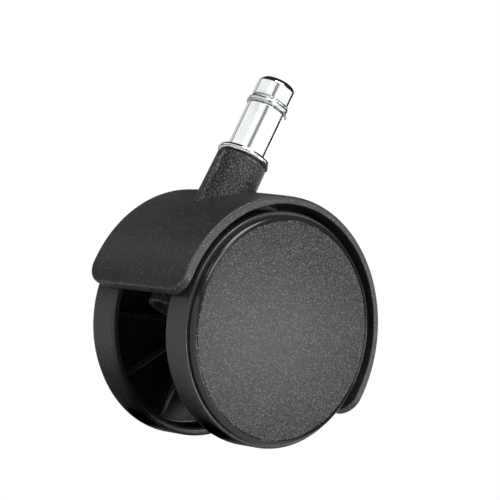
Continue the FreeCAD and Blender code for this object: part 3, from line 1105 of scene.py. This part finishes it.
@dataclass
class Housing:
    """The one-piece moulding: hood, neck with its rib, stem socket, web, cross ribs and boss."""

    datum: Datum
    recipes: Recipes
    body: str = "fork"
    neck_top: float = -2.35
    neck_top_radius: float = 7.1
    neck_foot: float = -21.0
    neck_foot_radius: float = 7.45
    neck_rounding: float = 0.4
    neck_segments: int = 192
    bore_radius: float = 4.05
    socket_top_radius: float = 7.0
    socket_bottom_radius: float = 6.45
    socket_bottom: float = -49.0
    pocket_top: float = -45.2
    pocket_radius: float = 5.3
    rib_width: float = 2.4
    rib_proud: float = 1.0
    rib_flare: float = 0.45
    rib_rounding: float = 0.35
    web_half_thickness: float = 2.4
    web_rear_angle: float = 8.0
    web_foot_rise: float = 0.8
    web_steps: int = 40
    boss_radius: float = 7.0
    boss_half_length: float = 5.0
    boss_segments: int = 96
    axle_radius: float = 3.0
    cross_rib_first: float = 12.0
    cross_rib_step: float = 30.0
    cross_rib_count: int = 3
    cross_rib_inner: float = 25.0
    cross_rib_half_width: float = 9.8
    cross_rib_thickness: float = 1.6
    overlap: float = 0.5
    edge_rounding: float = 0.25

    def build(self) -> None:
        """Builds and fits the moulding."""
        smooth = GrainedPlastic(
            "housing_plastic",
            shade=0.018,
            roughness=0.45,
            grain=0.36,
            relief=0.05,
            contrast=0.4,
            # Painted glints: bright specks of painted highlight in the hood's colour.
            painted_glints=2.6,
            glint_share=0.36,
        ).material()
        coarse = GrainedPlastic(
            "neck_plastic",
            shade=0.013,
            roughness=0.46,
            grain=0.27,
            relief=0.12,
            contrast=1.0,
            # Strong painted glints: bright specks of painted highlight that stand in for the neck's
            # sparkle.
            painted_glints=6.0,
            glint_share=0.46,
            gloss=0.25,
        ).material()
        hood = Hood(self.datum)
        body = joined(
            "housing",
            [
                hood.mesh(smooth),
                self._web(hood, smooth),
                self._boss(smooth),
                self._cross_ribs(hood, smooth),
                self._neck_rib(smooth),
            ],
        )
        fit("hood_and_web", body, self.body, Slot.HOUSING, "housing")
        fit("neck", self._neck(coarse), self.body, Slot.HOUSING)

    def _neck(self, material: Material) -> Mesh:
        """The neck and the stem socket below it, bored through, with the clip's pocket."""
        corners = [
            Corner(self.bore_radius, self.neck_top),
            Corner(self.neck_top_radius, self.neck_top, self.neck_rounding),
            Corner(self.neck_foot_radius, self.neck_foot),
            Corner(self.socket_top_radius, self.neck_foot),
            Corner(self.socket_bottom_radius, self.socket_bottom, self.neck_rounding),
            Corner(self.pocket_radius, self.socket_bottom),
            Corner(self.pocket_radius, self.pocket_top),
            Corner(self.bore_radius, self.pocket_top),
        ]
        return self.recipes.turned.turn("neck", corners, material, segments=self.neck_segments)

    def _neck_rib(self, material: Material) -> Mesh:
        """The raised rib down the front of the neck, prouder at its foot."""
        top = self.neck_top - self.neck_rounding
        proud_top = -(self.neck_top_radius + self.rib_proud)
        root = -(self.bore_radius + 1)
        side_view = [
            Vector((root, -self.rib_width / 2, top)),
            Vector((proud_top, -self.rib_width / 2, top)),
            Vector((proud_top - self.rib_flare, -self.rib_width / 2, self.neck_foot)),
            Vector((root, -self.rib_width / 2, self.neck_foot)),
        ]
        width = Vector((0, self.rib_width, 0))
        return prism("neck_rib", side_view, width, material, self.rib_rounding)

    def _web(self, hood: Hood, material: Material) -> Mesh:
        """The centre plate under the hood that carries the axle boss."""
        axle = self.datum.axle
        radius = hood.inner_radius + self.overlap
        rear = math.radians(self.web_rear_angle)
        front = math.acos(-hood.inner_centre[0] / radius)
        outline = [
            Vector((0, 0, self.socket_bottom + self.web_foot_rise)),
            Vector((axle.x, 0, axle.z - self.boss_radius)),
            Vector((axle.x + self.boss_radius, 0, axle.z - self.boss_radius / 3)),
        ]
        for step in range(self.web_steps + 1):
            angle = rear + (front - rear) * step / self.web_steps
            x = hood.inner_centre[0] + radius * math.cos(angle)
            z = hood.inner_centre[1] + radius * math.sin(angle)
            outline.append(Vector((x, 0, z)))
        half = Vector((0, self.web_half_thickness, 0))
        return prism("web", [p - half for p in outline], 2 * half, material)

    def _boss(self, material: Material) -> Mesh:
        """The boss that holds the axle."""
        half = self.boss_half_length
        corners = [
            Corner(self.axle_radius, -half),
            Corner(self.boss_radius, -half, self.edge_rounding),
            Corner(self.boss_radius, half, self.edge_rounding),
            Corner(self.axle_radius, half),
        ]
        return self.recipes.turned.turn(
            "boss", corners, material, self.datum.axle, Side.LEFT.tilt, segments=self.boss_segments
        )

    def _cross_ribs(self, hood: Hood, material: Material) -> Mesh:
        """The short ribs across the web under the hood, set like spokes about the axle."""
        half = self.cross_rib_thickness / 2
        side = self.cross_rib_half_width
        reach = hood.inner_radius + self.overlap
        plan = [
            Vector((self.cross_rib_inner, -half, -side)),
            Vector((reach, -half, -side)),
            Vector((reach, -half, side)),
            Vector((self.cross_rib_inner, -half, side)),
        ]
        rib = prism("cross_rib", plan, Vector((0, 2 * half, 0)), material, self.edge_rounding)
        return self.recipes.spokes.run(
            rib,
            Count=self.cross_rib_count,
            First_Angle=math.radians(self.cross_rib_first),
            Step=math.radians(self.cross_rib_step),
            Tilt=(math.pi / 2, 0.0, 0.0),
            Seat=(hood.inner_centre[0], 0.0, hood.inner_centre[1]),
            Material=material,
        )


# ---- axle set -----------------------------------------------------------------------------
@dataclass
class AxleSet:
    """The pressed-in axle with its washers and push nuts."""

    datum: Datum
    recipes: Recipes
    body: str = "fork"
    half_length: float = 20.1
    radius: float = 3.0
    chamfer: float = 0.5
    bore_radius: float = 3.05
    washer_radius: float = 6.2
    washer_start: float = 5.0
    thickness: float = 0.5
    nut_start: float = 19.2
    nut_radius: float = 6.2
    tooth_root: float = 4.4
    tooth_gap: float = 0.6
    teeth: int = 6
    edge_rounding: float = 0.12
    segments: int = 96

    def build(self) -> None:
        """Builds and fits the axle, both washers and both push nuts."""
        steel = BrightMetal("axle_steel", (0.62, 0.62, 0.63), 0.28, 0.2, 0.01).material()
        spring = BrightMetal("push_nut_steel", (0.42, 0.41, 0.40), 0.33, 0.2, 0.01).material()
        washer = GrainedPlastic(
            "axle_washer_plastic", shade=0.05, roughness=0.45, grain=0.25, relief=0.01
        ).material()
        fit("axle_pin", self._axle(steel), self.body, Slot.AXLE, "axle")
        for side in Side:
            label = side.label
            shim = self._ring(
                "shim", self.bore_radius, self.washer_radius, self.washer_start, side, washer
            )
            fit(f"{label}_shim", shim, self.body, Slot.WASHER, f"axle_washer_{label}")
            nut = self._push_nut(side, spring)
            fit(f"{label}_lock_ring", nut, self.body, Slot.SPRING, f"push_nut_{label}")

    def _axle(self, material: Material) -> Mesh:
        """The plain pin, chamfered at both ends."""
        end = self.half_length
        corners = [
            Corner(0, -end),
            Corner(self.radius - self.chamfer, -end),
            Corner(self.radius, -end + self.chamfer),
            Corner(self.radius, end - self.chamfer),
            Corner(self.radius - self.chamfer, end),
            Corner(0, end),
        ]
        return self.recipes.turned.turn(
            "axle",
            corners,
            material,
            self.datum.axle,
            Side.LEFT.tilt,
            closed=False,
            segments=self.segments,
        )

    def _ring(
        self,
        name: str,
        inner: float,
        outer: float,
        start: float,
        side: Side,
        material: Material,
    ) -> Mesh:
        """A flat ring on the axle.

        Args:
            name: the mesh's name.
            inner: the ring's inner radius.
            outer: the ring's outer radius.
            start: the distance of its inner face from the middle plane.
            side: the side it lies on.
            material: the ring's finish.

        Returns:
            A closed mesh.
        """
        end = start + self.thickness
        corners = [
            Corner(inner, start),
            Corner(outer, start, self.edge_rounding),
            Corner(outer, end, self.edge_rounding),
            Corner(inner, end),
        ]
        return self.recipes.turned.turn(
            name,
            corners,
            material,
            self.datum.axle,
            side.tilt,
            segments=self.segments,
            arc_steps=3,
        )

    def _push_nut(self, side: Side, material: Material) -> Mesh:
        """The lock ring with its teeth gripping the axle."""
        name = "lock_ring"
        ring = self._ring(name, self.tooth_root, self.nut_radius, self.nut_start, side, material)
        pitch = math.tau / self.teeth
        outer = self.tooth_root + self.edge_rounding
        inner = self.bore_radius
        plan = []
        for radius, turn in ((inner, -1), (outer, -1), (outer, 1), (inner, 1)):
            angle = turn * (pitch / 2 - self.tooth_gap / 2 / radius)
            plan.append(
                Vector((radius * math.cos(angle), radius * math.sin(angle), self.nut_start))
            )
        tooth = prism(name, plan, Vector((0, 0, self.thickness)), material, self.edge_rounding / 2)
        teeth = self.recipes.spokes.run(
            tooth,
            Count=self.teeth,
            First_Angle=pitch / 2,
            Step=pitch,
            Tilt=(side.tilt, 0.0, 0.0),
            Seat=self.datum.axle,
            Material=material,
        )
        return joined(name, [ring, teeth])


# ---- wheels -------------------------------------------------------------------------------
@dataclass(frozen=True)
class WheelFinishes:
    """The materials that both wheels share."""

    wheel: Material
    tread: Material
    cover: Material

    @classmethod
    def made(cls) -> "WheelFinishes":
        """Makes the three materials."""
        wheel = GrainedPlastic(
            "wheel_plastic",
            shade=0.014,
            roughness=0.15,
            grain=0.5,
            relief=0.008,
            contrast=0.12,
            mottle=0.1,
        )
        tread = GrainedPlastic(
            "tread_plastic",
            shade=0.028,
            roughness=0.24,
            grain=0.3,
            relief=0.01,
            contrast=0.15,
            mottle=0.1,
        )
        cover = GrainedPlastic(
            "cover_plastic",
            shade=0.017,
            roughness=0.28,
            grain=0.34,
            relief=0.02,
            contrast=0.95,
            # Painted glints: bright specks of painted highlight that stand in for the disc's sparkle.
            painted_glints=4.0,
            glint_share=0.42,
            unevenness=0.09,
            gloss=0.2,
        )
        return cls(wheel.material(), tread.material(), cover.material())


@dataclass
class WheelSet:
    """One wheel: the moulding with its ribs, the tread and the snap-in cover."""

    datum: Datum
    recipes: Recipes
    side: Side
    lip_plane: float = 11.3
    tread_edge: float = 20.05
    tread_thickness: float = 1.3
    tread_lip_depth: float = 1.2
    tread_inner_rounding: float = 0.9
    tread_outer_rounding: float = 0.45
    rim_inner_radius: float = 29.6
    shoulder_groove: float = 0.35
    shoulder_radius: float = 31.05
    shoulder_rounding: float = 0.25
    crest_plane: float = 21.9
    crest_rounding: float = 1.2
    cover_seam: float = 0.12
    cover_thickness: float = 1.4
    cover_rounding: float = 0.25
    snap_depth: float = 1.5
    snap_wall: float = 1.1
    snap_skirt: float = 0.35
    snap_lead: float = 0.3
    snap_fit: float = 0.05
    snap_tip: float = 0.65
    ledge_radius: float = 28.4
    web_outer: float = 18.9
    web_thickness: float = 1.5
    hub_radius: float = 7.0
    hub_inner: float = 5.6
    hub_outer: float = 19.1
    bore_radius: float = 3.05
    inner_fillet: float = 1.0
    outer_fillet: float = 0.5
    edge_rounding: float = 0.25
    rib_count: int = 10
    rib_first_angle: float = 25.0
    rib_thickness: float = 1.5
    rib_hub_edge: float = 12.0
    rib_rim_edge: float = 15.5
    rib_overlap: float = 0.4

    def build(self, finishes: WheelFinishes) -> None:
        """Builds and fits the wheel, the tread and the cover.

        Args:
            finishes: the materials that both wheels share.
        """
        label = self.side.label
        body = f"{label}_wheel"
        wheel = joined("wheel", [self._moulding(finishes.wheel), self._ribs(finishes.wheel)])
        fit(f"{label}_rim_and_hub", wheel, body, Slot.WHEEL, f"wheel_{label}")
        fit(f"{label}_tyre", self._tread(finishes.tread), body, Slot.TREAD, f"tread_{label}")
        fit(f"{label}_disc", self._cover(finishes.cover), body, Slot.COVER, f"cover_{label}")

    def _turned(
        self, name: str, corners: Sequence[Corner], material: Material, **options: object
    ) -> Mesh:
        """Turns corners (radius, distance outwards) about the axle, towards this wheel's side."""
        return self.recipes.turned.turn(
            name, corners, material, self.datum.axle, self.side.tilt, **options
        )

    def _moulding(self, material: Material) -> Mesh:
        """Hub, web, rim, the outer shoulder and the cover's recess."""
        face = self.datum.face_plane
        seat = self.datum.wheel_radius - self.tread_thickness
        lip = self.lip_plane + self.tread_lip_depth
        web_inner = self.web_outer - self.web_thickness
        shoulder = self.tread_edge + self.shoulder_groove
        recess = self.datum.cover_radius + self.cover_seam
        ledge = face - self.cover_thickness
        corners = [
            Corner(self.bore_radius, self.hub_inner),
            Corner(self.hub_radius, self.hub_inner, self.edge_rounding),
            Corner(self.hub_radius, web_inner, self.inner_fillet),
            Corner(self.rim_inner_radius, web_inner, self.inner_fillet),
            Corner(self.rim_inner_radius, lip),
            Corner(seat, lip),
            Corner(seat, shoulder),
            Corner(self.shoulder_radius, shoulder, self.shoulder_rounding),
            Corner(self.shoulder_radius, self.crest_plane, self.crest_rounding),
            Corner(recess, face),
            Corner(recess, ledge),
            Corner(self.ledge_radius, ledge),
            Corner(self.ledge_radius, self.web_outer, self.outer_fillet),
            Corner(self.hub_radius, self.web_outer),
            Corner(self.hub_radius, self.hub_outer),
            Corner(self.bore_radius, self.hub_outer),
        ]
        return self._turned("wheel", corners, material)

    def _ribs(self, material: Material) -> Mesh:
        """The stiffening ribs between hub and rim."""
        root = self.web_outer - self.web_thickness + self.rib_overlap
        inner = self.hub_radius - self.rib_overlap
        outer = self.rim_inner_radius + self.rib_overlap
        half = self.rib_thickness / 2
        plan = [
            Vector((inner, -half, root)),
            Vector((inner, -half, self.rib_hub_edge)),
            Vector((outer, -half, self.rib_rim_edge)),
            Vector((outer, -half, root)),
        ]
        rib = prism("rib", plan, Vector((0, 2 * half, 0)), material, self.edge_rounding)
        turn = -self.side.value
        return self.recipes.spokes.run(
            rib,
            Count=self.rib_count,
            First_Angle=turn * math.radians(self.rib_first_angle),
            Step=turn * math.tau / self.rib_count,
            Tilt=(self.side.tilt, 0.0, 0.0),
            Seat=self.datum.axle,
            Material=material,
        )

    def _tread(self, material: Material) -> Mesh:
        """The running band, with its lip turned over the rim's inner end."""
        radius = self.datum.wheel_radius
        seat = radius - self.tread_thickness
        lip = self.lip_plane + self.tread_lip_depth
        corners = [
            Corner(self.rim_inner_radius, self.lip_plane, self.tread_inner_rounding),
            Corner(radius, self.lip_plane, self.tread_inner_rounding),
            Corner(radius, self.tread_edge, self.tread_outer_rounding),
            Corner(seat, self.tread_edge),
            Corner(seat, lip),
            Corner(self.rim_inner_radius, lip),
        ]
        return self._turned("tread", corners, material)

    def _cover(self, material: Material) -> Mesh:
        """The disc with its barbed snap ring."""
        face = self.datum.face_plane
        radius = self.datum.cover_radius
        back = face - self.cover_thickness
        end = back - self.snap_depth
        skirt = self.ledge_radius - self.snap_skirt
        bore = skirt - self.snap_wall
        corners = [
            Corner(0, face),
            Corner(radius, face, self.cover_rounding),
            Corner(radius, back),
            Corner(skirt, back),
            Corner(skirt, end + 2 * self.snap_lead),
            Corner(self.ledge_radius - self.snap_fit, end + self.snap_lead),
            Corner(self.ledge_radius - self.snap_tip, end),
            Corner(bore, end),
            Corner(bore, back),
            Corner(0, back),
        ]
        return self._turned("cover", corners, material, closed=False)


# ---- studio -------------------------------------------------------------------------------
def direction(azimuth: float, elevation: float) -> Vector:
    """The unit vector towards an azimuth and an elevation in degrees; azimuth 0 is -Y, 90 is +X."""
    turn = math.radians(azimuth)
    rise = math.radians(elevation)
    level = Vector((math.sin(turn), -math.cos(turn), 0)) * math.cos(rise)
    return level + Vector((0, 0, math.sin(rise)))


@dataclass(frozen=True)
class Softbox:
    """A flat softbox that faces the caster's middle. Sizes are in metres, directions in degrees."""

    name: str
    azimuth: float
    elevation: float
    width: float
    height: float
    radiance: float
    distance: float = 0.9

    def place(self, middle: Vector) -> None:
        """Hangs the light.

        Args:
            middle: the point that it faces.
        """
        out = direction(self.azimuth, self.elevation)
        lamp = bpy.data.lights.new(self.name, "AREA")
        lamp.shape = "RECTANGLE"
        lamp.size = self.width
        lamp.size_y = self.height
        lamp.energy = math.pi * self.width * self.height * self.radiance
        holder = placed(self.name, lamp)
        holder.location = middle + out * self.distance
        holder.visible_camera = False
        holder.rotation_euler = out.to_track_quat("Z", "Y").to_euler()


@dataclass(frozen=True)
class StripLight:
    """A low strip light that bends round part of the studio, which the bright stem mirrors."""

    name: str
    start: float
    end: float
    radiance: float
    elevation: float = 19.5
    height: float = 0.17
    distance: float = 0.9
    panel: float = 14.0

    def place(self, middle: Vector) -> None:
        """Hangs the strip as flat panels edge to edge.

        Args:
            middle: the point that it bends round.
        """
        count = max(1, round((self.end - self.start) / self.panel))
        step = (self.end - self.start) / count
        width = 2 * self.distance * math.tan(math.radians(step / 2))
        for index in range(count):
            azimuth = self.start + step * (index + 0.5)
            name = f"{self.name}_{index}"
            Softbox(
                name, azimuth, self.elevation, width, self.height, self.radiance, self.distance
            ).place(middle)


@dataclass
class Studio:
    """Floor, plain surround, lights and camera. Lengths are in metres."""

    datum: Datum
    floor_size: float = 6.0
    floor_shade: float = 0.85
    floor_roughness: float = 0.8
    surround: float = 0.02
    view_azimuth: float = -37.39
    view_elevation: float = -15.99
    view_roll: float = 25.18
    view_distance: float = 0.7508
    view_across: float = 0.00528
    view_up: float = 0.02035
    lens: float = 197.3
    sensor_width: float = 36.0
    lights: tuple[Softbox | StripLight, ...] = (
        StripLight("left_strip", -80, -49, 1.2),
        StripLight("far_left_strip", -130, -80, 1.0),
        StripLight("rear_left_strip", -154, -130, 1.0),
        StripLight("far_rear_strip", -190, -154, 0.35),
        StripLight("front_strip", -31, 10, 1.0),
        StripLight("right_strip", 10, 69, 1.25),
        StripLight("streak_strip", -49, -31, 0.3),
        StripLight("rear_right_strip", 92, 124, 1.5),
        Softbox("rim_line", -14, 23, 0.1, 0.32, 14.0),
        Softbox("disc_glow", 33.9, 12.5, 0.04, 0.04, 14.0, 0.267),
        Softbox("key", -37, 52, 0.62, 0.45, 7.4),
        Softbox("low_right", 25, 1.5, 0.26, 0.09, 32.0),
        Softbox("front_fill", -7, 30, 0.48, 0.5, 0.6),
        Softbox("right_fill", 113, 16, 0.48, 0.6, 1.1),
        Softbox("rear_fill", 172, 16, 0.48, 0.6, 0.45),
    )

    def build(self) -> None:
        """Sets up everything that isn't the caster."""
        bpy.context.scene.view_settings.view_transform = "Standard"
        self._surround()
        self._floor()
        middle = self.datum.axle * MM
        for light in self.lights:
            light.place(middle)
        self._camera()

    def _surround(self) -> None:
        """A plain world: white where the camera looks past the caster, softer as a light."""
        world = bpy.data.worlds.new("surround")
        world.use_nodes = True
        bpy.context.scene.world = world
        tree = world.node_tree
        tree.nodes.clear()
        sheet = NodeSheet(tree)
        seen = sheet.add("ShaderNodeBackground", {"Color": (1, 1, 1, 1), "Strength": 1.0})
        cast = sheet.add("ShaderNodeBackground", {"Color": (1, 1, 1, 1), "Strength": self.surround})
        path = sheet.add("ShaderNodeLightPath")
        mix = sheet.add(
            "ShaderNodeMixShader",
            {0: path.outputs["Is Camera Ray"], 1: cast.outputs[0], 2: seen.outputs[0]},
        )
        sheet.add("ShaderNodeOutputWorld", {"Surface": mix.outputs[0]})

    def _floor(self) -> None:
        """A pale floor under the wheels that hides nothing from below."""
        height = (self.datum.axle.z - self.datum.wheel_radius) * MM
        half = self.floor_size / 2
        corners = ((-half, -half), (half, -half), (half, half), (-half, half))
        mesh = bpy.data.meshes.new("floor")
        mesh.from_pydata([(x, y, height) for x, y in corners], [], [(0, 1, 2, 3)])
        sheet = FinishSheet("floor_paper")
        shade = self.floor_shade
        sheet.surface.inputs["Base Color"].default_value = (shade, shade, shade, 1)
        sheet.surface.inputs["Roughness"].default_value = self.floor_roughness
        side = sheet.add("ShaderNodeNewGeometry").outputs["Backfacing"]
        clear = sheet.add("ShaderNodeBsdfTransparent")
        mix = sheet.add(
            "ShaderNodeMixShader",
            {0: side, 1: sheet.surface.outputs[0], 2: clear.outputs[0]},
        )
        output = sheet.tree.nodes["Material Output"]
        sheet.tree.links.new(mix.outputs[0], output.inputs["Surface"])
        mesh.materials.append(sheet.material)
        placed("floor", mesh)

    def _camera(self) -> None:
        """The camera, low in front of the left wheel and rolled with the caster leaning right."""
        roll = math.radians(self.view_roll)
        level_right = direction(self.view_azimuth + 90, 0)
        back = direction(self.view_azimuth, self.view_elevation)
        level_up = back.cross(level_right)
        right = math.cos(roll) * level_right + math.sin(roll) * level_up
        up = math.cos(roll) * level_up - math.sin(roll) * level_right
        lens = bpy.data.cameras.new("camera")
        lens.lens = self.lens
        lens.sensor_width = self.sensor_width
        camera = placed("camera", lens)
        place = self.datum.axle * MM
        place = place + back * self.view_distance + right * self.view_across + up * self.view_up
        turn = Matrix((right, up, back)).transposed().to_4x4()
        camera.matrix_world = Matrix.Translation(place) @ turn
        bpy.context.scene.camera = camera


def main() -> None:
    """Builds the caster's pieces round the frame, then the studio."""
    logging.basicConfig(level=logging.INFO, format="%(name)s: %(message)s")
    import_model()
    datum = Datum.from_frame()
    recipes = Recipes(TurnedRecipe(), SplitRingRecipe(), SpokeRecipe())
    StemSet(datum, recipes).build()
    Housing(datum, recipes).build()
    AxleSet(datum, recipes).build()
    finishes = WheelFinishes.made()
    for side in Side:
        WheelSet(datum, recipes, side).build(finishes)
    Studio(datum).build()


if __name__ == "__main__":
    main()
